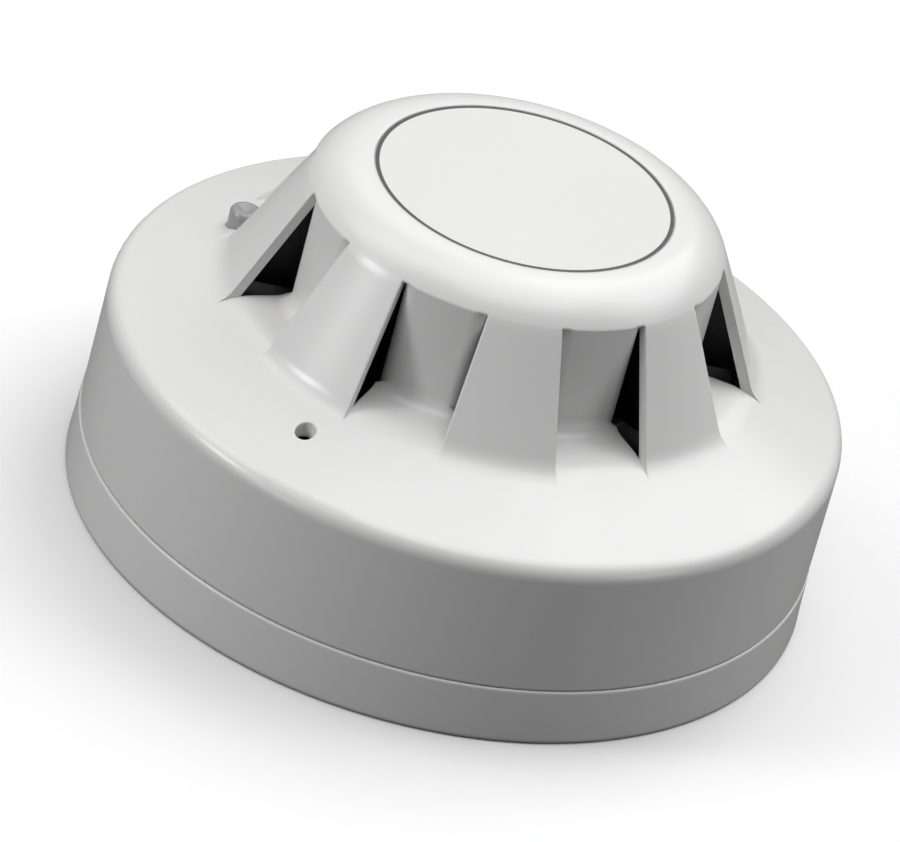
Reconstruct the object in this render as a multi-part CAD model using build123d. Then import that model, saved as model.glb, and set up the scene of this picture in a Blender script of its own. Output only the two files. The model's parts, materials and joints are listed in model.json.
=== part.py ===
from build123d import *
import os
from math import cos, degrees, radians, sin, sqrt, tan

# A point heat detector: a louvred head that twists onto a round mounting base.
# The origin is the centre of the base's mounting face. +Z points from the base to the dome, and the
# two fixing slots lie along X. All lengths are in millimetres and all angles in degrees.

# ---------------------------------------------------------------- driving dimensions
TOTAL_HEIGHT = 52.4
BASE_RADIUS = 50.0
SEAM_HEIGHT = 8.1            # where the head's skirt meets the base
SEAM_GAP = 0.2
HEAD_RADIUS = 49.4
RIM_HEIGHT = 26.25           # sharp corner between skirt and flange, before rounding
FLANGE_SLOPE = 23.5          # cone of the flange, from the horizontal
SLAB_HEIGHT = 32.8           # level ground between the leaves, at the foot of the panels
FIT = 0.05                   # clearance between pieces that don't move on each other
RUNNING_CLEARANCE = 0.05

# leaves and panels of the cover
LEAF_COUNT = 8
LEAF_PHASE = 9.5             # azimuth of the first leaf's centre line, from +X
LEAF_SLOPE = 63.5            # outer face of a leaf, from the horizontal
LEAF_CORNER = 25.76          # radius where a leaf's face would meet the plane of the dome's top
LEAF_WEDGE = 18.8            # half angle between the two side planes of a leaf
LEAF_WEDGE_APEX = 13.0       # radius where those side planes meet
LEAF_FOOT_ROUND = 4.5
LEAF_FOOT_REACH = 6.0        # a leaf keeps its own section this far past its foot
LEAF_ZONE_INNER = 20.0       # outside this radius the cover's section differs at the leaves
PANEL_RADIUS = 27.6
PANEL_END_ROUND = 2.2
PANEL_FOOT_ROUND = 2.0       # between a panel and the level ground in front of it
PANEL_RETURN_RADIUS = 24.5   # where the panels' turned-in ends stop
SHOULDER_RADIUS = 8.5

# walls and rounds of the cover
COVER_WALL = 2.0
LEAF_WALL = 1.4
PANEL_WALL = 1.5
RIM_ROUND = 2.5
SLAB_BLEND = 10.0            # round between the level ground and the flange's cone
SKIRT_DRAFT = 0.1            # the skirt is this much wider at its lower edge

# label, indicator and lock screw
LABEL_RADIUS = 19.95
LABEL_THICKNESS = 0.35
LABEL_RECESS = 0.4
INDICATOR_RADIUS = 35.0      # from the head's axis
INDICATOR_AZIMUTH = 169.2
LENS_RADIUS = 2.2
LENS_BOTTOM = 21.6
LENS_STAND_OUT = 2.1
LENS_ROUND = 0.8
LENS_DISH_RADIUS = 1.3       # the hollow in the lens's tip
LENS_DISH_DEPTH = 0.7
LENS_COLLAR_RADIUS = 3.0
LENS_COLLAR_HEIGHT = 1.2
LOCK_RADIUS = 40.5           # from the head's axis
LOCK_AZIMUTH = -117.4
LOCK_HOLE_RADIUS = 1.35
LOCK_SCREW_RADIUS = 1.45
LOCK_SCREW_BOTTOM = 12.0
LOCK_SCREW_TOP = 20.0
LOCK_SOCKET_RADIUS = 0.85
LOCK_SOCKET_DEPTH = 1.6
LOCK_INSERT_RADIUS = 2.6
LOCK_INSERT_TOP = 19.0
LOCK_INSERT_GROOVE = 0.8
LOCK_INSERT_GROOVE_DEPTH = 0.3

# chassis and circuit board
CHASSIS_BOTTOM = 12.6
CHASSIS_THICKNESS = 2.0
BOARD_BOTTOM = 18.6
BOARD_THICKNESS = 1.6
BOARD_RADIUS = 39.5
BOSS_RADIUS = 43.7           # cover screws, from the head's axis
BOSS_OUTER = 2.8
COVER_SCREW_RADIUS = 1.5
COVER_SCREW_GRIP = 7.0
BOARD_POST_RADIUS = 34.0
BOARD_POST_OUTER = 2.8
BOARD_SCREW_RADIUS = 1.2
BOARD_SCREW_GRIP = 3.5

# screw heads
COVER_HEAD_RADIUS = 2.5
BOARD_HEAD_RADIUS = 2.2
SMALL_HEAD_HEIGHT = 1.3
HEAD_ROUND = 0.6             # of the head's height
SLOT_WIDTH = 0.35            # of the head's height
SLOT_DEPTH = 0.5             # of the head's height
SCREW_TIP_GAP = 0.5          # between a screw's tip and the end of its hole

# board components
LEG_PITCH = 2.54
PACKAGE_STAND = 0.5          # a package's body stands this far off the board
PACKAGE_WIDTH = 6.4
PACKAGE_END = 0.6            # past the outermost legs
PACKAGE_CORNER = 0.3
PACKAGE_MARK_RADIUS = 0.6    # dimple by the first leg
PACKAGE_MARK_INSET = 1.4
LEG_WIDTH = 0.5
LEG_THICKNESS = 0.4
LEG_SHOULDER = 0.8
CAN_ROUND = 0.4
CRIMP_DEPTH = 0.25
CRIMP_HEIGHT = 1.0
CRIMP_WIDTH = 0.5
WIRE_RADIUS = 0.3
BARREL_STAND = 0.2
RESISTOR_PLACES = {          # centre of each resistor, and its turn about the upright
    (-6.0, 15.0): 0,
    (-6.0, 18.5): 0,
    (6.0, 15.0): 0,
    (6.0, 18.5): 0,
    (-26.0, 2.0): 90,
    (24.0, -10.0): 60,
}
TRANSISTOR_PLACE = (14.0, -22.0)
TRANSISTOR_RADIUS = 2.3
TRANSISTOR_BOTTOM = 2.0      # above the board
TRANSISTOR_TOP = 6.6
TRANSISTOR_FLAT = 1.5        # the flat side, from the middle
TRANSISTOR_LEG = 0.45
LED_RADIUS = 1.5
LED_HEIGHT = 1.1
LED_ROUND = 0.5
REFERENCE_PLACE = (0.0, -22.0)
REFERENCE_RADIUS = 1.3
REFERENCE_HEIGHT = 3.5
REFERENCE_LEAD_OFFSET = 0.6

# sensing chamber
CHAMBER_FLOOR_BOTTOM = 28.4
CHAMBER_FLOOR_THICKNESS = 1.5
CHAMBER_FLOOR_RADIUS = 33.2
CHAMBER_LEG_RADIUS = 1.8
CHAMBER_LEG_PLACE = 30.8     # legs, from the axis
CHAMBER_LEG_AZIMUTHS = (15, 105, 195, 285)
SCREEN_RADIUS = 22.8
SCREEN_WALL = 0.8
SCREEN_SLOTS = 72
SCREEN_SLOT_WIDTH = 0.9
SCREEN_FRAME = 3.0           # unslotted band at the top of the screen
SCREEN_TOP_GAP = 0.5         # between the screen and the dome's ceiling
SCREEN_COLLAR = 1.2
SCREEN_COLLAR_HEIGHT = 1.5
VANE_THICKNESS = 1.2
VANE_TOP = 46.5
VANE_REACH = 32.5            # how far out the vanes go at their feet
VANE_GAP = 0.4               # between a vane and the inner face of its leaf
HOLDER_RADIUS = 3.4
HOLDER_TOP = 36.0
HOLDER_TIP_RADIUS = 2.0
HOLDER_TAPER = 4.0
LEAD_RADIUS = 0.25
LEAD_SPACING = 2.5
LEAD_CRANK_START = 1.0       # above the holder
LEAD_CRANK_END = 3.0
BEAD_HEIGHT = 43.0
BEAD_RADIUS = 1.25
BEAD_LEAD_OFFSET = 0.5

# mounting base
FLOOR_THICKNESS = 2.5
BASE_LEDGE = 0.25            # the base stands out this much past the skirt at the seam
BASE_FOOT_ROUND = 0.6
BASE_SEAM_ROUND = 0.3
CABLE_ENTRY_RADIUS = 14.0
CABLE_LIP = 1.5              # raised lip round the cable entry
FIXING_SPACING = 60.0        # between the centres of the two fixing slots
FIXING_SLOT_RADIUS = 2.2
FIXING_SLOT_LENGTH = 13.4

# bayonet: lugs on the head turn under ledges on the base
BAYONET_COUNT = 3
BAYONET_TOP = 10.5
BAYONET_RING_RADIUS = 41.2   # inside of the base's bayonet wall
TWIST = 15.0
NECK_RADIUS = 38.6           # outside of the head's neck, which carries the lugs
NECK_GAP = 0.3               # between the neck and what stands round it on the base
LUG_AZIMUTH = LOCK_AZIMUTH + 60
LUG_HALF_ANGLE = 10.0
LUG_BOTTOM = 6.2
LUG_TOP = 8.1
LUG_RADIUS = 41.0
LEDGE_BOTTOM = 8.2
LEDGE_THICKNESS = 1.5
LEDGE_REACH = 4.5            # how far past a lug's middle its ledge reaches, in degrees
STOP_ANGLE = 4.0
STOP_GAP = 0.5               # between a lug and its stop, in degrees
LOCK_RIB_GAP = 0.3
LOCK_RIB_ANGLE = 6.0
LOCK_WAY_BOTTOM = 8.5

# terminals and the contacts that meet them
TERMINAL_RADIUS = 29.0       # terminal screws, from the axis
TERMINAL_AZIMUTHS = {"l1_in": 45.0, "l2": 135.0, "l1_out": 225.0, "remote": 315.0}
EARTH_RADIUS = 31.0
EARTH_AZIMUTH = 90.0
EARTH_TAB_HEIGHT = 3.0
TERMINAL_PAD = 7.0
PAD_HEIGHT = 1.0
TERMINAL_WIDTH = 5.0
TERMINAL_STRIP = 0.6
TERMINAL_SCREW_RADIUS = 1.6
TERMINAL_HEAD_RADIUS = 2.9
TERMINAL_HEAD_HEIGHT = 1.9
TERMINAL_HOLE_DEPTH = 1.5
SPRING_RISE_START = 1.0      # from the edge of the pad along the strip
SPRING_CREST_START = 5.0
SPRING_CREST_LENGTH = 2.0
SPRING_TAIL = 3.0            # how far the strip's end drops below its crest
SPRING_ROUND = 0.8
WASHER_THICKNESS = 0.8
WASHER_SIZE = 5.8
CONTACT_RADIUS = 29.0
CONTACT_WIDTH = 5.0
CONTACT_HALF_ANGLE = 19.0
CONTACT_THICKNESS = 0.7
CONTACT_GAP = 0.08           # between a base spring at rest and the contact above it
PIN_RADIUS = 0.9
PIN_STAND_OUT = 0.8

# ---------------------------------------------------------------- worked-out values
SKIRT_BOTTOM = SEAM_HEIGHT + SEAM_GAP / 2
BASE_RING_TOP = SEAM_HEIGHT - SEAM_GAP / 2
SKIRT_INNER_RADIUS = HEAD_RADIUS - COVER_WALL
CHASSIS_TOP = CHASSIS_BOTTOM + CHASSIS_THICKNESS
BOARD_TOP = BOARD_BOTTOM + BOARD_THICKNESS
CHAMBER_FLOOR_TOP = CHAMBER_FLOOR_BOTTOM + CHAMBER_FLOOR_THICKNESS
PITCH = 360 / LEAF_COUNT
CONTACT_BOTTOM = CHASSIS_BOTTOM - CONTACT_THICKNESS
PAD_TOP = FLOOR_THICKNESS + PAD_HEIGHT
INDICATOR_PLACE = (
    INDICATOR_RADIUS * cos(radians(INDICATOR_AZIMUTH)),
    INDICATOR_RADIUS * sin(radians(INDICATOR_AZIMUTH)),
)
LOCK_PLACE = (LOCK_RADIUS * cos(radians(LOCK_AZIMUTH)), LOCK_RADIUS * sin(radians(LOCK_AZIMUTH)))
TERMINAL_SCREW_PLACES = [(TERMINAL_RADIUS, azimuth) for azimuth in TERMINAL_AZIMUTHS.values()]
TERMINAL_SCREW_PLACES.append((EARTH_RADIUS, EARTH_AZIMUTH))
BOSS_AZIMUTHS = [LOCK_AZIMUTH + 60 + k * 120 for k in range(3)]
BOARD_POST_AZIMUTHS = [LOCK_AZIMUTH + 30 + k * 120 for k in range(3)]
FLANGE_WALL = COVER_WALL / cos(radians(FLANGE_SLOPE))   # the flange's wall, measured upright
LEAF_SHIFT = LEAF_WALL / sin(radians(LEAF_SLOPE))       # a leaf's wall, measured level
SHOULDER_CENTRE = LEAF_CORNER - SHOULDER_RADIUS * tan(radians(LEAF_SLOPE / 2))   # of the shoulder's arc
EAVES_DROP = SHOULDER_RADIUS - sqrt(SHOULDER_RADIUS**2 - (PANEL_RADIUS - SHOULDER_CENTRE) ** 2)
EAVES_HEIGHT = TOTAL_HEIGHT - EAVES_DROP                # where the shoulder meets the panels


def flange_height(radius):
    """Height of the flange's upper cone at a radius."""
    return RIM_HEIGHT + (HEAD_RADIUS - radius) * tan(radians(FLANGE_SLOPE))


def leaf_radius(height):
    """Radius of a leaf's outer face at a height."""
    return LEAF_CORNER + (TOTAL_HEIGHT - height) / tan(radians(LEAF_SLOPE))


def leaf_foot():
    """The sharp corner between a leaf's outer face and the flange."""
    run = 1 / tan(radians(LEAF_SLOPE))
    rise = tan(radians(FLANGE_SLOPE))
    radius = LEAF_CORNER + (TOTAL_HEIGHT - RIM_HEIGHT - HEAD_RADIUS * rise) * run
    radius = radius / (1 - rise * run)
    return radius, flange_height(radius)


# ---------------------------------------------------------------- helpers
def outline(points, rounds=None):
    """A closed flat outline through the points. rounds maps a corner's number to its fillet radius."""
    face = Sketch() + make_face(Polyline(*points, close=True))
    for number, radius in (rounds or {}).items():
        corner = face.vertices().sort_by_distance(Vector(*points[number]))[0]
        face = fillet(corner, radius)
    return face


def turned(points, rounds=None):
    """A body of revolution about Z from (radius, height) points."""
    return revolve(Plane.XZ * outline(points, rounds), Axis.Z)


def tube(outer, inner, bottom, top):
    """An upright ring, or a plain disc where inner is 0."""
    body = Pos(0, 0, bottom) * extrude(Circle(outer), top - bottom)
    if inner:
        body -= Pos(0, 0, bottom) * extrude(Circle(inner), top - bottom)
    return body


def block(size_x, size_y, bottom, top, centre=(0, 0)):
    """An upright box with its footprint centred on a point."""
    return Pos(centre[0], centre[1], bottom) * extrude(Rectangle(size_x, size_y), top - bottom)


def post(radius, bottom, top, centre=(0, 0)):
    """An upright cylinder."""
    return Pos(centre[0], centre[1], bottom) * extrude(Circle(radius), top - bottom)


def polar(radius, azimuth):
    """The x and y of a place given by its radius and azimuth."""
    return radius * cos(radians(azimuth)), radius * sin(radians(azimuth))


def at_azimuth(azimuth, body):
    """Turn a body about Z."""
    return Rot(0, 0, azimuth) * body


def arc_block(outer, inner, bottom, top, start, end):
    """A piece of an upright ring between two azimuths."""
    reach = outer * 2
    middle = (start + end) / 2
    points = [(0, 0), polar(reach, start), polar(reach, middle), polar(reach, end)]
    sector = Pos(0, 0, bottom) * extrude(outline(points), top - bottom)
    return tube(outer, inner, bottom, top) & sector


def as_parts(bodies):
    """A group of separate solids in one compound."""
    return Compound(children=[solid for body in bodies for solid in body.solids()])


def screw(thread_radius, tip, seat, head_radius, head_height, place):
    """A slotted pan head screw from its tip to its head's seat, with the head beyond the seat."""
    away = 1 if seat > tip else -1
    crown = seat + away * head_height
    slot_floor = crown - away * head_height * SLOT_DEPTH
    thread = post(thread_radius, min(tip, seat), max(tip, seat), place)
    head = post(head_radius, min(seat, crown), max(seat, crown), place)
    rim = head.edges().sort_by(Axis.Z)[-1 if away > 0 else 0]
    head = fillet(rim, head_height * HEAD_ROUND)
    slot_ends = sorted((slot_floor, crown))
    head -= block(head_radius * 2, head_height * SLOT_WIDTH, *slot_ends, place)
    return thread + head


# ---------------------------------------------------------------- head: outer cover
def leaf_wedge():
    """The wedge between the two side planes of a leaf on the +X side."""
    reach = BASE_RADIUS * 2
    spread = reach * tan(radians(LEAF_WEDGE))
    corners = [
        (LEAF_WEDGE_APEX, 0),
        (LEAF_WEDGE_APEX + reach, -spread),
        (LEAF_WEDGE_APEX + reach, spread),
    ]
    return outline(corners)


def cover_cap():
    """Flat top and shoulder of the dome, down to the eaves where it meets the panels."""
    ceiling = TOTAL_HEIGHT - COVER_WALL
    section = Polyline(
        (PANEL_RADIUS, EAVES_HEIGHT),
        (PANEL_RETURN_RADIUS, EAVES_HEIGHT),
        (PANEL_RETURN_RADIUS, ceiling),
        (0, ceiling),
        (0, TOTAL_HEIGHT),
        (SHOULDER_CENTRE, TOTAL_HEIGHT),
    )
    section += RadiusArc((SHOULDER_CENTRE, TOTAL_HEIGHT), (PANEL_RADIUS, EAVES_HEIGHT), SHOULDER_RADIUS)
    return revolve(Plane.XZ * make_face(section), Axis.Z)


def cover_flange():
    """Skirt, rim, conical flange and the level ground inside it."""
    slab_edge = HEAD_RADIUS - (SLAB_HEIGHT - RIM_HEIGHT) / tan(radians(FLANGE_SLOPE))
    underside = SLAB_HEIGHT - COVER_WALL
    underside_edge = slab_edge - (FLANGE_WALL - COVER_WALL) / tan(radians(FLANGE_SLOPE))
    points = [
        (PANEL_RETURN_RADIUS, SLAB_HEIGHT),
        (slab_edge, SLAB_HEIGHT),
        (HEAD_RADIUS, RIM_HEIGHT),
        (HEAD_RADIUS + SKIRT_DRAFT, SKIRT_BOTTOM),
        (SKIRT_INNER_RADIUS, SKIRT_BOTTOM),
        (SKIRT_INNER_RADIUS, flange_height(SKIRT_INNER_RADIUS) - FLANGE_WALL),
        (underside_edge, underside),
        (PANEL_RETURN_RADIUS, underside),
    ]
    return turned(points, {1: SLAB_BLEND, 2: RIM_ROUND})


def leaf_inner_foot():
    """Radius where a leaf's inner face meets the underside of the flange."""
    run = 1 / tan(radians(LEAF_SLOPE))
    rise = tan(radians(FLANGE_SLOPE))
    return leaf_foot()[0] + (FLANGE_WALL * run - LEAF_SHIFT) / (1 - rise * run)


def cover_leaves():
    """The section through a leaf, turned all the way round; the wedges pick the leaves out of it."""
    foot_radius, foot_height = leaf_foot()
    ceiling = TOTAL_HEIGHT - COVER_WALL
    root = leaf_inner_foot()
    edge = foot_radius + LEAF_FOOT_REACH
    points = [
        (LEAF_ZONE_INNER, TOTAL_HEIGHT),
        (LEAF_CORNER, TOTAL_HEIGHT),
        (foot_radius, foot_height),
        (edge, flange_height(edge)),
        (root, flange_height(root) - FLANGE_WALL),
        (leaf_radius(ceiling) - LEAF_SHIFT, ceiling),
        (LEAF_ZONE_INNER, ceiling),
    ]
    return turned(points, {1: SHOULDER_RADIUS, 2: LEAF_FOOT_ROUND, 5: SHOULDER_RADIUS - COVER_WALL})


def cover_air_ways():
    """The space behind the leaves' inner faces, turned all the way round."""
    ceiling = TOTAL_HEIGHT - COVER_WALL
    root = leaf_inner_foot()
    below = SLAB_HEIGHT - COVER_WALL * 2
    points = [
        (LEAF_ZONE_INNER, ceiling),
        (leaf_radius(ceiling) - LEAF_SHIFT, ceiling),
        (root, flange_height(root) - FLANGE_WALL),
        (root, below),
        (LEAF_ZONE_INNER, below),
    ]
    return turned(points, {1: SHOULDER_RADIUS - COVER_WALL})


def between_leaves(outer, inner):
    """Plan of the ground between two leaves on the +X side, from one radius to another."""
    ground = Circle(outer) - Circle(inner)
    ground -= Rot(0, 0, -PITCH / 2) * leaf_wedge()
    ground -= Rot(0, 0, PITCH / 2) * leaf_wedge()
    return Sketch() + ground.faces().sort_by_distance(Vector(outer, 0, 0))[0]


def panel_outline():
    """Plan of what one panel closes off: it fills the space between two leaves."""
    between = between_leaves(PANEL_RADIUS, LEAF_WEDGE_APEX)
    corners = between.vertices().sort_by(lambda v: -Vector(v.X, v.Y, 0).length)[0:2]
    return fillet(corners, PANEL_END_ROUND)


def panel_foot():
    """The level ground in front of a panel, rounded up into the panel's face and ends."""
    bottom = SLAB_HEIGHT - COVER_WALL
    foot = tube(PANEL_RADIUS + PANEL_FOOT_ROUND * 2, LEAF_WEDGE_APEX / 2, bottom, SLAB_HEIGHT)
    foot += Pos(0, 0, SLAB_HEIGHT) * extrude(panel_outline(), PANEL_FOOT_ROUND * 2)
    corner = foot.edges().sort_by_distance(Vector(PANEL_RADIUS, 0, SLAB_HEIGHT))[0]
    foot = fillet(corner, PANEL_FOOT_ROUND)
    ground = between_leaves(PANEL_RADIUS + PANEL_FOOT_ROUND, PANEL_RETURN_RADIUS)
    return foot & Pos(0, 0, bottom) * extrude(ground, TOTAL_HEIGHT)


def cover_panel():
    """One recessed panel: a curved wall whose two ends turn in towards the axis."""
    bottom = SLAB_HEIGHT - COVER_WALL
    outer = panel_outline()
    wall = outer - Circle(PANEL_RETURN_RADIUS)
    panel = Pos(0, 0, bottom) * extrude(wall, EAVES_HEIGHT - bottom) + panel_foot()
    hollow = offset(outer, -PANEL_WALL, kind=Kind.INTERSECTION)
    panel -= Pos(0, 0, bottom) * extrude(hollow, EAVES_HEIGHT - bottom)
    return panel - cover_corner_cuts(SLAB_HEIGHT + PANEL_FOOT_ROUND)


def cover_corner_cuts(top):
    """The bits of level ground outside the rounded ends of one panel, which the air ways take away."""
    corners = between_leaves(PANEL_RADIUS, PANEL_RETURN_RADIUS - PANEL_WALL) - panel_outline()
    bottom = SLAB_HEIGHT - COVER_WALL * 2
    return Pos(0, 0, bottom) * extrude(corners, top - bottom)


def cover_boss(azimuth):
    """A boss under the flange that takes one of the screws from the chassis."""
    top = flange_height(BOSS_RADIUS + BOSS_OUTER) - FLANGE_WALL / 2
    boss = post(BOSS_OUTER, CHASSIS_TOP, top, (BOSS_RADIUS, 0))
    boss -= post(COVER_SCREW_RADIUS, CHASSIS_TOP, CHASSIS_TOP + COVER_SCREW_GRIP, (BOSS_RADIUS, 0))
    return at_azimuth(azimuth, boss)


def outer_cover():
    """The white moulding: a dome on eight leaves over a conical flange and an upright skirt."""
    middle_of_a_panel = LEAF_PHASE + PITCH / 2
    wedge = extrude(leaf_wedge(), TOTAL_HEIGHT * 2)
    leaf = at_azimuth(LEAF_PHASE, at_azimuth(PITCH / 2, cover_leaves()) & wedge)
    air_way = at_azimuth(LEAF_PHASE, at_azimuth(PITCH / 2, cover_air_ways()) & wedge)
    panel = at_azimuth(middle_of_a_panel, cover_panel())
    corner_cuts = at_azimuth(middle_of_a_panel, cover_corner_cuts(SLAB_HEIGHT))
    turns = [k * PITCH for k in range(LEAF_COUNT)]
    body = at_azimuth(middle_of_a_panel, cover_cap()) + at_azimuth(middle_of_a_panel, cover_flange())
    body -= [at_azimuth(turn, air_way) for turn in turns]
    body -= [at_azimuth(turn, corner_cuts) for turn in turns]
    body += [at_azimuth(turn, panel) for turn in turns]
    body += [at_azimuth(turn, leaf) for turn in turns]
    body += [cover_boss(azimuth) for azimuth in BOSS_AZIMUTHS]
    body -= post(LABEL_RADIUS + FIT, TOTAL_HEIGHT - LABEL_RECESS, TOTAL_HEIGHT)
    body -= post(LENS_RADIUS + FIT, SLAB_HEIGHT / 2, TOTAL_HEIGHT, INDICATOR_PLACE)
    body -= post(LOCK_HOLE_RADIUS, SLAB_HEIGHT / 2, TOTAL_HEIGHT, LOCK_PLACE)
    return body


# ---------------------------------------------------------------- head: what the cover carries
def label_disc():
    return post(LABEL_RADIUS, TOTAL_HEIGHT - LABEL_RECESS, TOTAL_HEIGHT - LABEL_RECESS + LABEL_THICKNESS)


def indicator_lens():
    """A clear light pipe: a dished tip above the flange, a stem, and a collar under the flange."""
    tip = flange_height(INDICATOR_RADIUS) + LENS_STAND_OUT
    collar_top = flange_height(INDICATOR_RADIUS + LENS_COLLAR_RADIUS) - FLANGE_WALL
    points = [
        (0, LENS_BOTTOM),
        (LENS_RADIUS, LENS_BOTTOM),
        (LENS_RADIUS, collar_top - LENS_COLLAR_HEIGHT),
        (LENS_COLLAR_RADIUS, collar_top - LENS_COLLAR_HEIGHT),
        (LENS_COLLAR_RADIUS, collar_top),
        (LENS_RADIUS, collar_top),
        (LENS_RADIUS, tip),
        (LENS_DISH_RADIUS, tip),
        (0, tip - LENS_DISH_DEPTH),
    ]
    return Pos(*INDICATOR_PLACE, 0) * turned(points, {6: LENS_ROUND})


def lock_screw():
    """A grub screw with a hexagon socket, drawn right back from the base."""
    body = post(LOCK_SCREW_RADIUS, LOCK_SCREW_BOTTOM, LOCK_SCREW_TOP, LOCK_PLACE)
    body = chamfer(body.edges().sort_by(Axis.Z)[0], LOCK_SCREW_RADIUS / 3)
    socket = extrude(RegularPolygon(LOCK_SOCKET_RADIUS, 6), LOCK_SOCKET_DEPTH)
    return body - Pos(*LOCK_PLACE, LOCK_SCREW_TOP - LOCK_SOCKET_DEPTH) * socket


def lock_insert():
    """The brass bush that the lock screw runs in."""
    bush = tube(LOCK_INSERT_RADIUS, LOCK_SCREW_RADIUS + RUNNING_CLEARANCE, CHASSIS_BOTTOM, LOCK_INSERT_TOP)
    for height in (CHASSIS_TOP, CHASSIS_TOP + LOCK_INSERT_GROOVE * 2):
        groove_inner = LOCK_INSERT_RADIUS - LOCK_INSERT_GROOVE_DEPTH
        bush -= tube(LOCK_INSERT_RADIUS * 2, groove_inner, height, height + LOCK_INSERT_GROOVE)
    return Pos(*LOCK_PLACE, 0) * bush


def head_chassis():
    """The back of the head: a plate, a neck with the bayonet lugs, and posts for the circuit board."""
    body = tube(SKIRT_INNER_RADIUS - FIT, 0, CHASSIS_BOTTOM, CHASSIS_TOP)
    body += tube(NECK_RADIUS, NECK_RADIUS - COVER_WALL, LUG_BOTTOM, CHASSIS_BOTTOM)
    for k in range(BAYONET_COUNT):
        middle = LUG_AZIMUTH + k * 360 / BAYONET_COUNT
        start, end = middle - LUG_HALF_ANGLE, middle + LUG_HALF_ANGLE
        body += arc_block(LUG_RADIUS, NECK_RADIUS - COVER_WALL / 2, LUG_BOTTOM, LUG_TOP, start, end)
    for azimuth in BOARD_POST_AZIMUTHS:
        place = polar(BOARD_POST_RADIUS, azimuth)
        body += post(BOARD_POST_OUTER, CHASSIS_TOP, BOARD_BOTTOM, place)
        body -= post(BOARD_SCREW_RADIUS, BOARD_BOTTOM - BOARD_SCREW_GRIP, BOARD_BOTTOM, place)
    for azimuth in BOSS_AZIMUTHS:
        body -= post(COVER_SCREW_RADIUS + FIT, CHASSIS_BOTTOM, CHASSIS_TOP, polar(BOSS_RADIUS, azimuth))
    body += post(LOCK_INSERT_RADIUS + COVER_WALL / 2, CHASSIS_TOP, LOCK_INSERT_TOP, LOCK_PLACE)
    body -= post(LOCK_INSERT_RADIUS, CHASSIS_BOTTOM, LOCK_INSERT_TOP, LOCK_PLACE)
    for azimuth in TERMINAL_AZIMUTHS.values():
        body -= post(PIN_RADIUS, CHASSIS_BOTTOM, CHASSIS_TOP, polar(CONTACT_RADIUS, azimuth))
    return body - lock_insert()


def head_contact(azimuth):
    """A contact strip on the underside of the chassis, long enough to wipe over the base's spring."""
    strip = arc_block(
        CONTACT_RADIUS + CONTACT_WIDTH / 2,
        CONTACT_RADIUS - CONTACT_WIDTH / 2,
        CONTACT_BOTTOM,
        CHASSIS_BOTTOM,
        azimuth - CONTACT_HALF_ANGLE,
        azimuth + CONTACT_HALF_ANGLE,
    )
    return strip - post(PIN_RADIUS, CONTACT_BOTTOM, CHASSIS_BOTTOM, polar(CONTACT_RADIUS, azimuth))


def contact_pins():
    """Pins that carry the line from each head contact up through the chassis to the board."""
    top = BOARD_TOP + PIN_STAND_OUT
    places = [polar(CONTACT_RADIUS, azimuth) for azimuth in TERMINAL_AZIMUTHS.values()]
    return as_parts([post(PIN_RADIUS, CONTACT_BOTTOM, top, place) for place in places])


def cover_screws():
    """Three screws up through the chassis into the cover's bosses."""
    tip = CHASSIS_TOP + COVER_SCREW_GRIP - SCREW_TIP_GAP
    screws = []
    for azimuth in BOSS_AZIMUTHS:
        place = polar(BOSS_RADIUS, azimuth)
        screws.append(
            screw(COVER_SCREW_RADIUS, tip, CHASSIS_BOTTOM, COVER_HEAD_RADIUS, SMALL_HEAD_HEIGHT, place)
        )
    return as_parts(screws)


# ---------------------------------------------------------------- head: circuit board
def circuit_board():
    body = tube(BOARD_RADIUS, 0, BOARD_BOTTOM, BOARD_TOP)
    body -= post(LOCK_INSERT_RADIUS + COVER_WALL, BOARD_BOTTOM, BOARD_TOP, LOCK_PLACE)
    for azimuth in BOARD_POST_AZIMUTHS:
        body -= post(BOARD_SCREW_RADIUS, BOARD_BOTTOM, BOARD_TOP, polar(BOARD_POST_RADIUS, azimuth))
    for azimuth in TERMINAL_AZIMUTHS.values():
        body -= post(PIN_RADIUS, BOARD_BOTTOM, BOARD_TOP, polar(CONTACT_RADIUS, azimuth))
    for side in (-1, 1):
        body -= post(LEAD_RADIUS, BOARD_BOTTOM, BOARD_TOP, (side * LEAD_SPACING / 2, 0))
    return body


def board_screws():
    tip = BOARD_BOTTOM - BOARD_SCREW_GRIP + SCREW_TIP_GAP
    screws = []
    for azimuth in BOARD_POST_AZIMUTHS:
        place = polar(BOARD_POST_RADIUS, azimuth)
        screws.append(screw(BOARD_SCREW_RADIUS, tip, BOARD_TOP, BOARD_HEAD_RADIUS, SMALL_HEAD_HEIGHT, place))
    return as_parts(screws)


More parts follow.
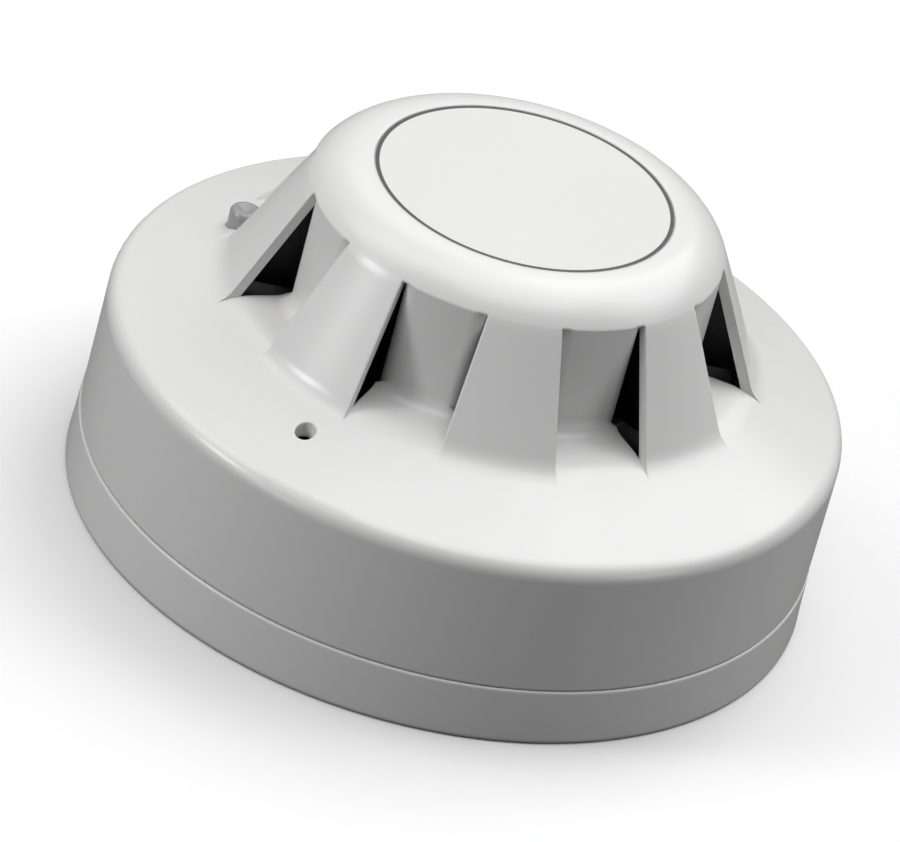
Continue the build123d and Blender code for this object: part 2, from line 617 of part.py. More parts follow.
def dual_in_line(legs_a_side, height, centre):
    """A plastic package on two rows of legs."""
    length = (legs_a_side - 1) * LEG_PITCH + 2 * (LEG_PITCH / 2 + PACKAGE_END)
    bottom = BOARD_TOP + PACKAGE_STAND
    top = bottom + height
    middle = bottom + height / 2
    body = block(length, PACKAGE_WIDTH, bottom, top, centre)
    body = chamfer(body.edges().filter_by(Axis.Z), PACKAGE_CORNER)
    mark = (centre[0] - length / 2 + PACKAGE_MARK_INSET, centre[1])
    body -= post(PACKAGE_MARK_RADIUS, top - PACKAGE_CORNER, top, mark)
    for k in range(legs_a_side):
        x = centre[0] + (k - (legs_a_side - 1) / 2) * LEG_PITCH
        for side in (-1, 1):
            foot_y = centre[1] + side * (PACKAGE_WIDTH / 2 + LEG_SHOULDER - LEG_THICKNESS)
            shoulder_y = centre[1] + side * (PACKAGE_WIDTH / 2 + LEG_SHOULDER / 2 - LEG_THICKNESS / 2)
            body += block(LEG_WIDTH, LEG_THICKNESS, BOARD_TOP, middle, (x, foot_y))
            body += block(LEG_WIDTH, LEG_SHOULDER, middle - LEG_THICKNESS, middle, (x, shoulder_y))
    return body


def control_circuit():
    return dual_in_line(7, 3.2, (4.0, -13.0))


def bridge_rectifier():
    return dual_in_line(2, 2.6, (-16.0, -8.0))


def electrolytic(radius, height, centre):
    """A can capacitor standing on the board, with the groove of its crimp."""
    can = post(radius, BOARD_TOP, BOARD_TOP + height, centre)
    can = fillet(can.edges().sort_by(Axis.Z)[-1], CAN_ROUND)
    crimp = BOARD_TOP + CRIMP_HEIGHT
    groove = tube(radius * 2, radius - CRIMP_DEPTH, crimp, crimp + CRIMP_WIDTH)
    return can - Pos(*centre, 0) * groove


def smoothing_capacitor():
    return electrolytic(3.15, 7.0, (-16.0, 12.0))


def timing_capacitor():
    return electrolytic(2.5, 5.5, (18.0, 6.0))


def axial_part(radius, length, span, centre, azimuth):
    """A small barrel lying above the board between two bent leads."""
    height = BOARD_TOP + radius + BARREL_STAND
    barrel = Pos(-length / 2, 0, height) * Rot(0, 90, 0) * extrude(Circle(radius), length)
    barrel = fillet(barrel.edges().filter_by(GeomType.CIRCLE), radius / 2)
    part = barrel + Pos(-span / 2, 0, height) * Rot(0, 90, 0) * extrude(Circle(WIRE_RADIUS), span)
    for side in (-1, 1):
        foot = (side * (span / 2 - WIRE_RADIUS), 0)
        part += post(WIRE_RADIUS, BOARD_TOP, height + WIRE_RADIUS, foot)
    return Pos(*centre, 0) * Rot(0, 0, azimuth) * part


def resistors():
    return as_parts([axial_part(1.1, 6.0, 10.0, place, turn) for place, turn in RESISTOR_PLACES.items()])


def surge_suppressor():
    return axial_part(1.8, 5.5, 11.0, (-24.0, -12.0), 120)


def reed_switch():
    """The glass switch that a test magnet closes."""
    return axial_part(1.2, 14.0, 20.0, (0.0, 26.0), 0)


def alarm_transistor():
    """A small transistor with one flat side, on three legs."""
    x, y = TRANSISTOR_PLACE
    bottom = BOARD_TOP + TRANSISTOR_BOTTOM
    top = BOARD_TOP + TRANSISTOR_TOP
    body = post(TRANSISTOR_RADIUS, bottom, top, TRANSISTOR_PLACE)
    beyond_flat = (x, y + TRANSISTOR_FLAT + TRANSISTOR_RADIUS)
    body -= block(TRANSISTOR_RADIUS * 2, TRANSISTOR_RADIUS * 2, bottom, top, beyond_flat)
    for k in (-1, 0, 1):
        leg_place = (x + k * LEG_PITCH / 2, y)
        body += block(TRANSISTOR_LEG, TRANSISTOR_LEG, BOARD_TOP, bottom + TRANSISTOR_LEG, leg_place)
    return body


def indicator_led():
    """The light source on the board, below the lens."""
    body = post(LED_RADIUS, BOARD_TOP, BOARD_TOP + LED_HEIGHT, INDICATOR_PLACE)
    return fillet(body.edges().sort_by(Axis.Z)[-1], LED_ROUND)


# ---------------------------------------------------------------- head: sensing chamber
def chamber_floor():
    """The dark plate that shuts the electronics off from the air, standing on four legs."""
    collar_top = CHAMBER_FLOOR_TOP + SCREEN_COLLAR_HEIGHT
    body = tube(CHAMBER_FLOOR_RADIUS, 0, CHAMBER_FLOOR_BOTTOM, CHAMBER_FLOOR_TOP)
    body += tube(SCREEN_RADIUS + SCREEN_COLLAR, SCREEN_RADIUS + FIT, CHAMBER_FLOOR_TOP, collar_top)
    for azimuth in CHAMBER_LEG_AZIMUTHS:
        place = polar(CHAMBER_LEG_PLACE, azimuth)
        body += post(CHAMBER_LEG_RADIUS, BOARD_TOP, CHAMBER_FLOOR_BOTTOM, place)
    body -= post(LENS_COLLAR_RADIUS, CHAMBER_FLOOR_BOTTOM, CHAMBER_FLOOR_TOP, INDICATOR_PLACE)
    return body - post(HOLDER_RADIUS, CHAMBER_FLOOR_BOTTOM, CHAMBER_FLOOR_TOP)


def screen_vane():
    """A flat vane behind a leaf on the +X side, which stops light passing across behind the leaf."""
    bottom = CHAMBER_FLOOR_TOP + SCREEN_COLLAR_HEIGHT + FIT
    slant_run = VANE_REACH + LEAF_SHIFT + VANE_GAP - LEAF_CORNER
    slant_bottom = TOTAL_HEIGHT - slant_run * tan(radians(LEAF_SLOPE))
    points = [
        (SCREEN_RADIUS - SCREEN_WALL / 2, bottom),
        (VANE_REACH, bottom),
        (VANE_REACH, slant_bottom),
        (leaf_radius(VANE_TOP) - LEAF_SHIFT - VANE_GAP, VANE_TOP),
        (SCREEN_RADIUS - SCREEN_WALL / 2, VANE_TOP),
    ]
    return extrude(Plane.XZ * outline(points), VANE_THICKNESS / 2, both=True)


def insect_screen():
    """A dark sleeve with upright slots, inside the ring of panels, with a vane behind each leaf."""
    top = TOTAL_HEIGHT - COVER_WALL - SCREEN_TOP_GAP
    body = tube(SCREEN_RADIUS, SCREEN_RADIUS - SCREEN_WALL, CHAMBER_FLOOR_TOP, top)
    slot_bottom = CHAMBER_FLOOR_TOP + SCREEN_COLLAR_HEIGHT
    slot = block(SCREEN_WALL * 4, SCREEN_SLOT_WIDTH, slot_bottom, top - SCREEN_FRAME, (SCREEN_RADIUS, 0))
    body -= [at_azimuth(k * 360 / SCREEN_SLOTS, slot) for k in range(SCREEN_SLOTS)]
    return body + [at_azimuth(LEAF_PHASE + k * PITCH, screen_vane()) for k in range(LEAF_COUNT)]


def thermistor_holder():
    """The post that lifts the sensing thermistor into the air path."""
    points = [
        (0, BOARD_TOP),
        (HOLDER_RADIUS, BOARD_TOP),
        (HOLDER_RADIUS, HOLDER_TOP - HOLDER_TAPER),
        (HOLDER_TIP_RADIUS, HOLDER_TOP),
        (0, HOLDER_TOP),
    ]
    body = turned(points)
    for side in (-1, 1):
        body -= post(LEAD_RADIUS, BOARD_TOP, HOLDER_TOP, (side * LEAD_SPACING / 2, 0))
    return body


def sensing_thermistor():
    """A small bead in the moving air."""
    bead = Pos(0, 0, BEAD_HEIGHT) * Sphere(BEAD_RADIUS)
    for side in (-1, 1):
        bead -= post(LEAD_RADIUS, HOLDER_TOP, BEAD_HEIGHT, (side * BEAD_LEAD_OFFSET, 0))
    return bead


def thermistor_leads():
    """Two wires from the board to the bead, cranked inwards above the holder."""
    leads = []
    for side in (-1, 1):
        foot = (side * LEAD_SPACING / 2, 0, BOARD_BOTTOM)
        path = Polyline(
            foot,
            (side * LEAD_SPACING / 2, 0, HOLDER_TOP + LEAD_CRANK_START),
            (side * BEAD_LEAD_OFFSET, 0, HOLDER_TOP + LEAD_CRANK_END),
            (side * BEAD_LEAD_OFFSET, 0, BEAD_HEIGHT),
        )
        leads.append(sweep(Plane(origin=foot) * Circle(LEAD_RADIUS), path, transition=Transition.RIGHT))
    return as_parts(leads)


def reference_thermistor():
    """A second bead, on the board, where the air temperature reaches it slowly."""
    x, y = REFERENCE_PLACE
    top = BOARD_TOP + REFERENCE_HEIGHT
    bead = Pos(x, y, top) * Sphere(REFERENCE_RADIUS)
    for side in (-1, 1):
        bead += post(LEAD_RADIUS, BOARD_TOP, top, (x + side * REFERENCE_LEAD_OFFSET, y))
    return bead


# ---------------------------------------------------------------- base
def bayonet_stops(middle):
    """The ledge that a lug turns under, and the two stops that end its turn."""
    inner = NECK_RADIUS + NECK_GAP
    outer = BAYONET_RING_RADIUS + COVER_WALL / 2
    low_end = middle - LUG_HALF_ANGLE
    high_end = middle + LUG_HALF_ANGLE + TWIST
    ledge_top = LEDGE_BOTTOM + LEDGE_THICKNESS
    ledge = arc_block(outer, inner, LEDGE_BOTTOM, ledge_top, low_end - STOP_ANGLE, middle + LEDGE_REACH)
    low_stop = arc_block(outer, inner, FLOOR_THICKNESS, ledge_top, low_end - STOP_ANGLE, low_end - STOP_GAP)
    high_start = high_end + STOP_GAP
    high_stop = arc_block(outer, inner, FLOOR_THICKNESS, ledge_top, high_start, high_end + STOP_ANGLE)
    return ledge + low_stop + high_stop


def lock_screw_way():
    """The recess in the bayonet wall that lets the lock screw's tip pass as the head turns."""
    reach = degrees((LOCK_SCREW_RADIUS + LOCK_RIB_GAP) / LOCK_RADIUS)
    outer = LOCK_RADIUS + LOCK_SCREW_RADIUS + LOCK_RIB_GAP
    end = LOCK_AZIMUTH + TWIST + reach
    return arc_block(outer, NECK_RADIUS, LOCK_WAY_BOTTOM, BAYONET_TOP, LOCK_AZIMUTH - reach, end)


def lock_rib():
    """The rib that the lock screw's tip stands against, so that the head can't turn."""
    start = LOCK_AZIMUTH + degrees((LOCK_SCREW_RADIUS + LOCK_RIB_GAP) / LOCK_RADIUS)
    end = start + LOCK_RIB_ANGLE
    outer = BAYONET_RING_RADIUS + COVER_WALL / 2
    return arc_block(outer, NECK_RADIUS + NECK_GAP, FLOOR_THICKNESS, BAYONET_TOP, start, end)


def base_body():
    """The mounting base: a floor with a rim, the bayonet wall, and pads for the terminals."""
    points = [
        (CABLE_ENTRY_RADIUS, 0),
        (BASE_RADIUS, 0),
        (HEAD_RADIUS + BASE_LEDGE, BASE_RING_TOP),
        (SKIRT_INNER_RADIUS, BASE_RING_TOP),
        (SKIRT_INNER_RADIUS, FLOOR_THICKNESS),
        (CABLE_ENTRY_RADIUS + COVER_WALL, FLOOR_THICKNESS),
        (CABLE_ENTRY_RADIUS + COVER_WALL, FLOOR_THICKNESS + CABLE_LIP),
        (CABLE_ENTRY_RADIUS, FLOOR_THICKNESS + CABLE_LIP),
    ]
    body = turned(points, {1: BASE_FOOT_ROUND, 2: BASE_SEAM_ROUND})
    body += tube(BAYONET_RING_RADIUS + COVER_WALL, BAYONET_RING_RADIUS, FLOOR_THICKNESS, BAYONET_TOP)
    for k in range(BAYONET_COUNT):
        body += bayonet_stops(LUG_AZIMUTH + k * 360 / BAYONET_COUNT)
    hole_bottom = FLOOR_THICKNESS - TERMINAL_HOLE_DEPTH
    for radius, azimuth in TERMINAL_SCREW_PLACES:
        pad = block(TERMINAL_PAD, TERMINAL_PAD, FLOOR_THICKNESS, PAD_TOP, (radius, 0))
        body += at_azimuth(azimuth, pad)
        body -= post(TERMINAL_SCREW_RADIUS, hole_bottom, PAD_TOP, polar(radius, azimuth))
    for side in (-1, 1):
        slot = extrude(SlotOverall(FIXING_SLOT_LENGTH, FIXING_SLOT_RADIUS * 2), FLOOR_THICKNESS)
        body -= Pos(side * FIXING_SPACING / 2, 0, 0) * slot
    body -= lock_screw_way()
    return body + lock_rib()


def terminal(azimuth):
    """A terminal strip: a foot under the screw, and a spring that rises to meet the head's contact."""
    thick = TERMINAL_STRIP
    foot_end = TERMINAL_PAD / 2
    rise = foot_end + SPRING_RISE_START
    crest_start = foot_end + SPRING_CREST_START
    crest_end = crest_start + SPRING_CREST_LENGTH
    tail_end = crest_end + SPRING_CREST_LENGTH
    crest = CONTACT_BOTTOM - CONTACT_GAP
    tail = crest - SPRING_TAIL
    points = [
        (-foot_end, PAD_TOP),
        (rise, PAD_TOP),
        (crest_start, crest - thick),
        (crest_end, crest - thick),
        (tail_end, tail),
        (tail_end + thick, tail + thick),
        (crest_end + thick, crest),
        (crest_start - thick / 2, crest),
        (rise - thick / 2, PAD_TOP + thick),
        (-foot_end, PAD_TOP + thick),
    ]
    side_view = Plane.YZ * outline(points, {7: SPRING_ROUND, 6: SPRING_ROUND})
    strip = Pos(TERMINAL_RADIUS - TERMINAL_WIDTH / 2, 0, 0) * extrude(side_view, TERMINAL_WIDTH)
    strip -= post(TERMINAL_SCREW_RADIUS, PAD_TOP, PAD_TOP + thick, (TERMINAL_RADIUS, 0))
    return at_azimuth(azimuth, strip)


def clamp_washers():
    """A square clamp under each terminal screw."""
    bottom = PAD_TOP + TERMINAL_STRIP
    top = bottom + WASHER_THICKNESS
    washers = []
    for radius, azimuth in TERMINAL_SCREW_PLACES:
        plate = block(WASHER_SIZE, WASHER_SIZE, bottom, top, (radius, 0))
        plate -= post(TERMINAL_SCREW_RADIUS, bottom, top, (radius, 0))
        washers.append(at_azimuth(azimuth, plate))
    return as_parts(washers)


def terminal_screws():
    tip = FLOOR_THICKNESS - TERMINAL_HOLE_DEPTH + SCREW_TIP_GAP
    seat = PAD_TOP + TERMINAL_STRIP + WASHER_THICKNESS
    screws = []
    for radius, azimuth in TERMINAL_SCREW_PLACES:
        head = (TERMINAL_HEAD_RADIUS, TERMINAL_HEAD_HEIGHT)
        screws.append(at_azimuth(azimuth, screw(TERMINAL_SCREW_RADIUS, tip, seat, *head, (radius, 0))))
    return as_parts(screws)


def earth_terminal():
    """A bare plate with a turned-up tab, for the cables' screens."""
    thick = TERMINAL_STRIP
    tab_place = (EARTH_RADIUS + TERMINAL_PAD / 2 - thick / 2, 0)
    plate = block(TERMINAL_PAD, TERMINAL_PAD, PAD_TOP, PAD_TOP + thick, (EARTH_RADIUS, 0))
    plate += block(thick, TERMINAL_PAD, PAD_TOP, PAD_TOP + EARTH_TAB_HEIGHT, tab_place)
    plate -= post(TERMINAL_SCREW_RADIUS, PAD_TOP, PAD_TOP + thick, (EARTH_RADIUS, 0))
    return at_azimuth(EARTH_AZIMUTH, plate)


# ---------------------------------------------------------------- all the parts
def all_parts():
    parts = {
        "outer_cover": outer_cover(),
        "label_disc": label_disc(),
        "indicator_lens": indicator_lens(),
        "lock_screw": lock_screw(),
        "lock_screw_insert": lock_insert(),
        "head_chassis": head_chassis(),
        "contact_pins": contact_pins(),
        "cover_screws": cover_screws(),
        "circuit_board": circuit_board(),
        "board_screws": board_screws(),
        "control_circuit": control_circuit(),
        "bridge_rectifier": bridge_rectifier(),
        "smoothing_capacitor": smoothing_capacitor(),
        "timing_capacitor": timing_capacitor(),
        "resistors": resistors(),
        "surge_suppressor": surge_suppressor(),
        "reed_switch": reed_switch(),
        "alarm_transistor": alarm_transistor(),
        "indicator_led": indicator_led(),
        "chamber_floor": chamber_floor(),
        "insect_screen": insect_screen(),
        "thermistor_holder": thermistor_holder(),
        "sensing_thermistor": sensing_thermistor(),
        "thermistor_leads": thermistor_leads(),
        "reference_thermistor": reference_thermistor(),
        "base_body": base_body(),
        "clamp_washers": clamp_washers(),
        "terminal_screws": terminal_screws(),
        "earth_terminal": earth_terminal(),
    }
    for name, azimuth in TERMINAL_AZIMUTHS.items():
        parts["contact_" + name] = head_contact(azimuth)
        parts["terminal_" + name] = terminal(azimuth)
    return parts


os.makedirs("parts", exist_ok=True)
for name, body in all_parts().items():
    export_step(body, f"parts/{name}.step")
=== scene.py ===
import json
import math

import bmesh
import bpy
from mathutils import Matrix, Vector


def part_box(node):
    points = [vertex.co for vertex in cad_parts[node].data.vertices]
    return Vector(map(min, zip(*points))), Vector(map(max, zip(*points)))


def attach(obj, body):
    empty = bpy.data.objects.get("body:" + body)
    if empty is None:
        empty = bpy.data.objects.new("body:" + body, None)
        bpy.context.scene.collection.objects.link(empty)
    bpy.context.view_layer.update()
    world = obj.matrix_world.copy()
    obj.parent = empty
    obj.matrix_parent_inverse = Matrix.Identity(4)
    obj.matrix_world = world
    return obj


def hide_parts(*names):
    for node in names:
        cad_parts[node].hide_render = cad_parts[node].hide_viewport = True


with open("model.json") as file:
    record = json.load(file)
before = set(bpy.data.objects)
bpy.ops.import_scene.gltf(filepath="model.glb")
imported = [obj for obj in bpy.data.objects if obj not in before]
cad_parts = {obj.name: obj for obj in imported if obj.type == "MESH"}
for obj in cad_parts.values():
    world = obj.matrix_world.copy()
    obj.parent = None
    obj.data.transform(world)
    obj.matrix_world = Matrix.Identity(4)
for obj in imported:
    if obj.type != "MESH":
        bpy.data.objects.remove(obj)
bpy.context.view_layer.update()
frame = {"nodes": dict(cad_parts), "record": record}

# Sizes are metres, angles degrees. The object stands on its mounting face at z = 0.
MM = 0.001

# camera
CAMERA_TILT = 31.24
CAMERA_ROLL = 15.37
CAMERA_DISTANCE = 0.968
CAMERA_LENS = 291.55
CAMERA_AIM = Vector((-0.00139, 0.00682, 0.01125))
CAMERA_NEAR = 0.05
CAMERA_FAR = 20.0

# finish
EDGE_RADIUS = 0.45 * MM      # how far the softened edges reach
EDGE_SAMPLES = 6
OPEN_FACING = 0.99           # softened against true normal: above this there's no edge wear and no painted edge highlight
WORN_AND_LIT_FACING = 0.85           # and below this the edge colour is full
NOISE_LOW = 0.3              # most of a noise texture's values lie between these two
NOISE_HIGH = 0.7
DRIFT_SCALE = 25.0
DRIFT_SHADE = 0.985          # the darkest share of a finish's colour
DRIFT_DETAIL = 4.0
ROUGH_SCALE = 90.0
ROUGH_DRIFT = 0.02           # to either side of a finish's roughness
GRAIN_DETAIL = 2.0

# ---------------------------------------------------------------- materials

def node_graph(name):
    """A new material, its shader tree and its principled shader."""
    made = bpy.data.materials.new(name)
    made.use_nodes = True
    tree = made.node_tree
    return made, tree, tree.nodes["Principled BSDF"]


def noise(tree, scale, detail):
    """Noise laid out in the object's own space."""
    places = tree.nodes.new("ShaderNodeTexCoord")
    pattern = tree.nodes.new("ShaderNodeTexNoise")
    pattern.inputs["Scale"].default_value = scale
    pattern.inputs["Detail"].default_value = detail
    tree.links.new(places.outputs["Object"], pattern.inputs["Vector"])
    return pattern.outputs["Fac"]


def spread(tree, value, low, high):
    """Maps the middle of a noise value onto low to high."""
    ramp = tree.nodes.new("ShaderNodeMapRange")
    ramp.inputs["From Min"].default_value = NOISE_LOW
    ramp.inputs["From Max"].default_value = NOISE_HIGH
    ramp.inputs["To Min"].default_value = low
    ramp.inputs["To Max"].default_value = high
    tree.links.new(value, ramp.inputs["Value"])
    return ramp.outputs["Result"]


def mixed(tree, share, first, second):
    """A colour between two colours; each is a colour or a socket."""
    mix = tree.nodes.new("ShaderNodeMix")
    mix.data_type = "RGBA"
    tree.links.new(share, mix.inputs["Factor"])
    for socket, colour in (("A", first), ("B", second)):
        slot = next(i for i in mix.inputs if i.name == socket and i.type == "RGBA")
        if isinstance(colour, tuple):
            slot.default_value = (*colour, 1.0)
        else:
            tree.links.new(colour, slot)
    return next(o for o in mix.outputs if o.type == "RGBA")


def soft_edges(tree, radius):
    """A normal that rounds the edges, and the share of edge colour, which is 0 on open faces and up to
    1 on edges: wear on most finishes, a painted highlight on the white moulding.
    """
    bevel = tree.nodes.new("ShaderNodeBevel")
    bevel.samples = EDGE_SAMPLES
    bevel.inputs["Radius"].default_value = radius
    place = tree.nodes.new("ShaderNodeNewGeometry")
    facing = tree.nodes.new("ShaderNodeVectorMath")
    facing.operation = "DOT_PRODUCT"
    tree.links.new(bevel.outputs["Normal"], facing.inputs[0])
    tree.links.new(place.outputs["Normal"], facing.inputs[1])
    wear_and_highlight_share = tree.nodes.new("ShaderNodeMapRange")
    wear_and_highlight_share.inputs["From Min"].default_value = OPEN_FACING
    wear_and_highlight_share.inputs["From Max"].default_value = WORN_AND_LIT_FACING
    tree.links.new(facing.outputs["Value"], wear_and_highlight_share.inputs["Value"])
    return bevel.outputs["Normal"], wear_and_highlight_share.outputs["Result"]


def surface(name, colour, edge_wear_and_highlight, roughness, grain, depth, metal=0.0, clear=0.0):
    """A finish that drifts in colour and roughness, has a fine grain, and takes an edge colour along
    its edges: wear on most finishes, a painted highlight on the white moulding.
    """
    made, tree, shader = node_graph(name)
    drift = spread(tree, noise(tree, DRIFT_SCALE, DRIFT_DETAIL), 0.0, 1.0)
    body = mixed(tree, drift, colour, tuple(DRIFT_SHADE * c for c in colour))
    normal, wear_and_highlight_share = soft_edges(tree, EDGE_RADIUS)
    # edge colour mixed in: real wear on most finishes, a painted highlight on the white moulding
    tree.links.new(mixed(tree, wear_and_highlight_share, body, edge_wear_and_highlight), shader.inputs["Base Color"])
    patches = noise(tree, ROUGH_SCALE, DRIFT_DETAIL)
    rough = spread(tree, patches, roughness - ROUGH_DRIFT, roughness + ROUGH_DRIFT)
    tree.links.new(rough, shader.inputs["Roughness"])
    shader.inputs["Metallic"].default_value = metal
    shader.inputs["Transmission Weight"].default_value = clear
    bump = tree.nodes.new("ShaderNodeBump")
    bump.inputs["Distance"].default_value = depth
    tree.links.new(noise(tree, grain, GRAIN_DETAIL), bump.inputs["Height"])
    tree.links.new(normal, bump.inputs["Normal"])
    tree.links.new(bump.outputs["Normal"], shader.inputs["Normal"])
    return made


def white_moulding():
    """Semi-gloss white moulded plastic, whose lighter edge colour is a painted highlight where the
    edges catch the light.
    """
    # the near-white edge colour here is a painted highlight along the edges, not wear
    return surface("white_moulding", colour=(0.81, 0.803, 0.80), edge_wear_and_highlight=(0.97, 0.97, 0.96),
                   roughness=0.25, grain=2200.0, depth=0.003 * MM)


def printed_label():
    return surface("printed_label", colour=(0.76, 0.76, 0.75), edge_wear_and_highlight=(0.7, 0.7, 0.69),
                   roughness=0.38, grain=1500.0, depth=0.003 * MM)


def label_print():
    """The dark line printed round the edge of the label."""
    return surface("label_print", colour=(0.1, 0.1, 0.105), edge_wear_and_highlight=(0.2, 0.2, 0.2),
                   roughness=0.4, grain=1500.0, depth=0.003 * MM)


def clear_plastic():
    return surface("clear_plastic", colour=(0.5, 0.5, 0.51), edge_wear_and_highlight=(0.3, 0.3, 0.3),
                   roughness=0.12, grain=900.0, depth=0.001 * MM, clear=0.3)


def zinc_steel():
    return surface("zinc_steel", colour=(0.58, 0.58, 0.59), edge_wear_and_highlight=(0.7, 0.7, 0.7),
                   roughness=0.32, grain=900.0, depth=0.006 * MM, metal=1.0)


def brass():
    return surface("brass", colour=(0.72, 0.53, 0.24), edge_wear_and_highlight=(0.8, 0.65, 0.35),
                   roughness=0.3, grain=900.0, depth=0.005 * MM, metal=1.0)


def tinned_metal():
    return surface("tinned_metal", colour=(0.62, 0.62, 0.6), edge_wear_and_highlight=(0.72, 0.72, 0.7),
                   roughness=0.35, grain=1200.0, depth=0.005 * MM, metal=1.0)


def circuit_laminate():
    return surface("circuit_laminate", colour=(0.03, 0.2, 0.07), edge_wear_and_highlight=(0.3, 0.28, 0.15),
                   roughness=0.4, grain=700.0, depth=0.01 * MM)


def black_package():
    return surface("black_package", colour=(0.02, 0.02, 0.021), edge_wear_and_highlight=(0.06, 0.06, 0.06),
                   roughness=0.5, grain=2500.0, depth=0.01 * MM)


def capacitor_sleeve():
    return surface("capacitor_sleeve", colour=(0.02, 0.03, 0.12), edge_wear_and_highlight=(0.1, 0.1, 0.2),
                   roughness=0.3, grain=800.0, depth=0.005 * MM)


def resistor_body():
    return surface("resistor_body", colour=(0.55, 0.4, 0.22), edge_wear_and_highlight=(0.6, 0.5, 0.3),
                   roughness=0.35, grain=900.0, depth=0.01 * MM)


def reed_glass():
    return surface("reed_glass", colour=(0.7, 0.8, 0.75), edge_wear_and_highlight=(0.7, 0.8, 0.75),
                   roughness=0.1, grain=500.0, depth=0.002 * MM, clear=0.8)


def led_epoxy():
    return surface("led_epoxy", colour=(0.55, 0.02, 0.02), edge_wear_and_highlight=(0.6, 0.1, 0.1),
                   roughness=0.15, grain=600.0, depth=0.002 * MM)


def black_moulding():
    return surface("black_moulding", colour=(0.018, 0.018, 0.018), edge_wear_and_highlight=(0.05, 0.05, 0.05),
                   roughness=0.55, grain=2500.0, depth=0.01 * MM)


def bead_glass():
    return surface("bead_glass", colour=(0.03, 0.03, 0.035), edge_wear_and_highlight=(0.08, 0.08, 0.08),
                   roughness=0.15, grain=700.0, depth=0.002 * MM)


# one for each material slot in the record
FINISHES = {make.__name__: make for make in (
    white_moulding, printed_label, clear_plastic, zinc_steel, brass, tinned_metal, circuit_laminate,
    black_package, capacitor_sleeve, resistor_body, reed_glass, led_epoxy, black_moulding, bead_glass)}


def dress(made):
    """Gives each CAD node the finish its record slot names."""
    for row in frame["record"]["subparts"]:
        thing = frame["nodes"][row["node"]]
        thing.data.materials.clear()
        thing.data.materials.append(made[row["material_slot"]])


# ---------------------------------------------------------------- the label's own mesh

LABEL_SEGMENTS = 128
LABEL_LINE_INNER = 19.3 * MM
LABEL_LINE_OUTER = 19.87 * MM
LABEL_EDGE = 0.06 * MM       # chamfer round the label


def label_piece(paper, line):
    """A disc with a printed line round it and a softened rim, in place of the plain CAD disc."""
    low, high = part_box("label_disc")
    radius = high.x
    profile = [
        (LABEL_LINE_INNER, high.z),
        (LABEL_LINE_OUTER, high.z),
        (radius - LABEL_EDGE, high.z),
        (radius, high.z - LABEL_EDGE),
        (radius, low.z),
    ]
    mesh = bpy.data.meshes.new("label_face")
    form = bmesh.new()
    turns = [math.tau * k / LABEL_SEGMENTS for k in range(LABEL_SEGMENTS)]
    rings = []
    for r, height in profile:
        rings.append([form.verts.new((r * math.cos(t), r * math.sin(t), height)) for t in turns])
    form.faces.new(rings[0])
    form.faces.new(list(reversed(rings[-1])))
    for number, (inner, outer) in enumerate(zip(rings, rings[1:])):
        for k in range(LABEL_SEGMENTS):
            n = (k + 1) % LABEL_SEGMENTS
            face = form.faces.new((inner[k], outer[k], outer[n], inner[n]))
            face.material_index = 1 if number == 0 else 0
    form.to_mesh(mesh)
    form.free()
    mesh.materials.append(paper)
    mesh.materials.append(line)
    piece = bpy.data.objects.new("label_face", mesh)
    bpy.context.scene.collection.objects.link(piece)
    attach(piece, "detector_head")
    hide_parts("label_disc")


# ---------------------------------------------------------------- floor, light and camera

FLOOR_HALF = 4.0
FLOOR_SEEN = 0.92        # the floor's colour to the camera
FLOOR_BOUNCE = 0.12      # and to the light it throws back at the object
FLOOR_ROUGHNESS = 0.9
WORLD_SEEN = 0.95
WORLD_LIGHT = 0.02
WHITE = (1.0, 1.0, 1.0, 1.0)
LIGHT_DISTANCE = 1.6

# azimuth, elevation, size and power of each softbox
LIGHTS = {
    "top_light": (-60.0, 85.0, 1.3, 11.6),
    "left_light": (-158.0, 24.0, 0.35, 5.7),
    "left_low": (-140.0, 8.0, 0.7, 2.9),
    "left_fill": (180.0, 50.0, 0.9, 5.7),
    "back_light": (100.0, 50.0, 0.9, 2.4),
    "right_back": (50.0, 50.0, 1.2, 11.4),
    "right_mid": (10.0, 40.0, 0.8, 4.5),
    "right_low": (-25.0, 8.0, 0.5, 1.6),
}


def seen_or_bounced(tree, seen, bounced):
    """One value for the camera's own rays and another for all other rays."""
    path = tree.nodes.new("ShaderNodeLightPath")
    pick = tree.nodes.new("ShaderNodeMapRange")
    pick.inputs["To Min"].default_value = bounced
    pick.inputs["To Max"].default_value = seen
    tree.links.new(path.outputs["Is Camera Ray"], pick.inputs["Value"])
    return pick.outputs["Result"]


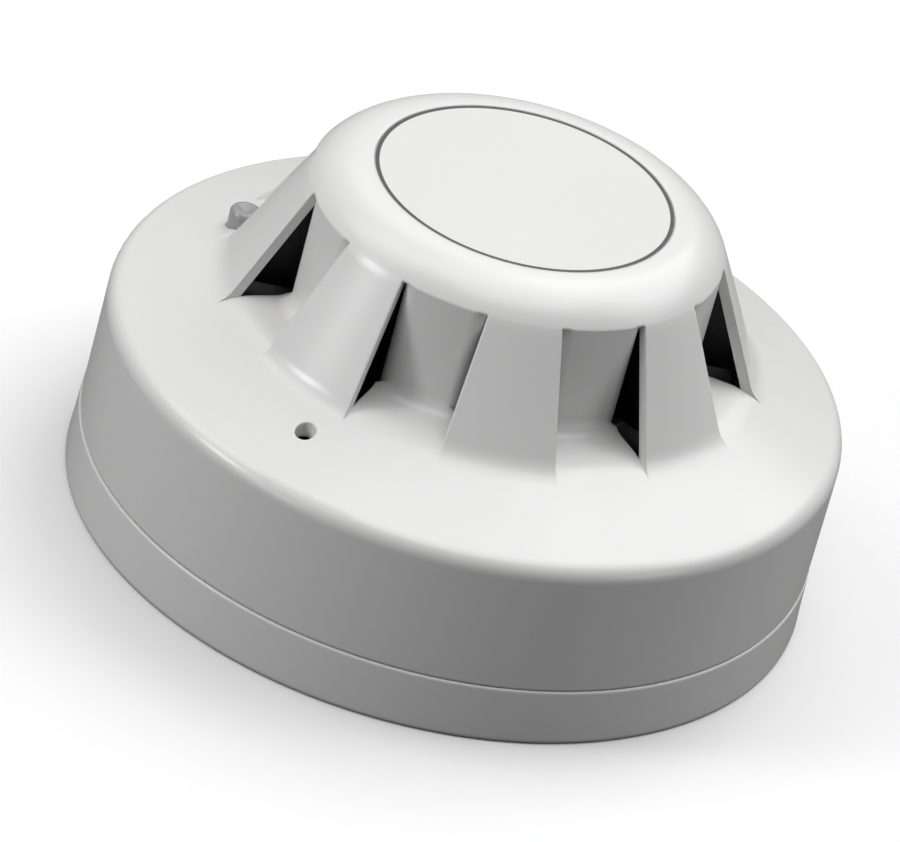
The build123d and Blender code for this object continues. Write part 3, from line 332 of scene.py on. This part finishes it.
def floor():
    """A plain floor that looks light but throws back little."""
    h = FLOOR_HALF
    mesh = bpy.data.meshes.new("floor")
    mesh.from_pydata([(-h, -h, 0), (h, -h, 0), (h, h, 0), (-h, h, 0)], [], [(0, 1, 2, 3)])
    thing = bpy.data.objects.new("floor", mesh)
    bpy.context.scene.collection.objects.link(thing)
    made, tree, shader = node_graph("floor")
    grey = tree.nodes.new("ShaderNodeCombineColor")
    level = seen_or_bounced(tree, FLOOR_SEEN, FLOOR_BOUNCE)
    for channel in ("Red", "Green", "Blue"):
        tree.links.new(level, grey.inputs[channel])
    tree.links.new(grey.outputs["Color"], shader.inputs["Base Color"])
    shader.inputs["Roughness"].default_value = FLOOR_ROUGHNESS
    mesh.materials.append(made)


def softbox(name, azimuth, elevation, size, power):
    """A square softbox aimed at the object."""
    lamp = bpy.data.lights.new(name, "AREA")
    lamp.shape = "SQUARE"
    lamp.size = size
    lamp.energy = power
    thing = bpy.data.objects.new(name, lamp)
    bpy.context.scene.collection.objects.link(thing)
    a, e = math.radians(azimuth), math.radians(elevation)
    towards = Vector((math.cos(a) * math.cos(e), math.sin(a) * math.cos(e), math.sin(e)))
    thing.location = LIGHT_DISTANCE * towards
    thing.rotation_mode = "QUATERNION"
    thing.rotation_quaternion = thing.location.to_track_quat("Z", "Y")


def studio():
    """The softboxes, and a dim world that looks white."""
    world = bpy.data.worlds.new("studio")
    bpy.context.scene.world = world
    world.use_nodes = True
    tree = world.node_tree
    sky = tree.nodes["Background"]
    sky.inputs["Color"].default_value = WHITE
    tree.links.new(seen_or_bounced(tree, WORLD_SEEN, WORLD_LIGHT), sky.inputs["Strength"])
    for name, values in LIGHTS.items():
        softbox(name, *values)
    bpy.context.scene.view_settings.view_transform = "Standard"


def camera():
    """A long lens a little above the object, with a roll."""
    eye = bpy.data.objects.new("camera", bpy.data.cameras.new("camera"))
    bpy.context.scene.collection.objects.link(eye)
    eye.data.lens = CAMERA_LENS
    eye.rotation_mode = "ZXY"
    eye.rotation_euler = (math.radians(90.0 - CAMERA_TILT), 0.0, math.radians(CAMERA_ROLL))
    tilt = math.radians(CAMERA_TILT)
    eye.location = CAMERA_AIM + CAMERA_DISTANCE * Vector((0.0, -math.cos(tilt), math.sin(tilt)))
    eye.data.clip_start = CAMERA_NEAR
    eye.data.clip_end = CAMERA_FAR
    bpy.context.scene.camera = eye


finishes = {name: make() for name, make in FINISHES.items()}
dress(finishes)
label_piece(finishes["printed_label"], label_print())
floor()
studio()
camera()
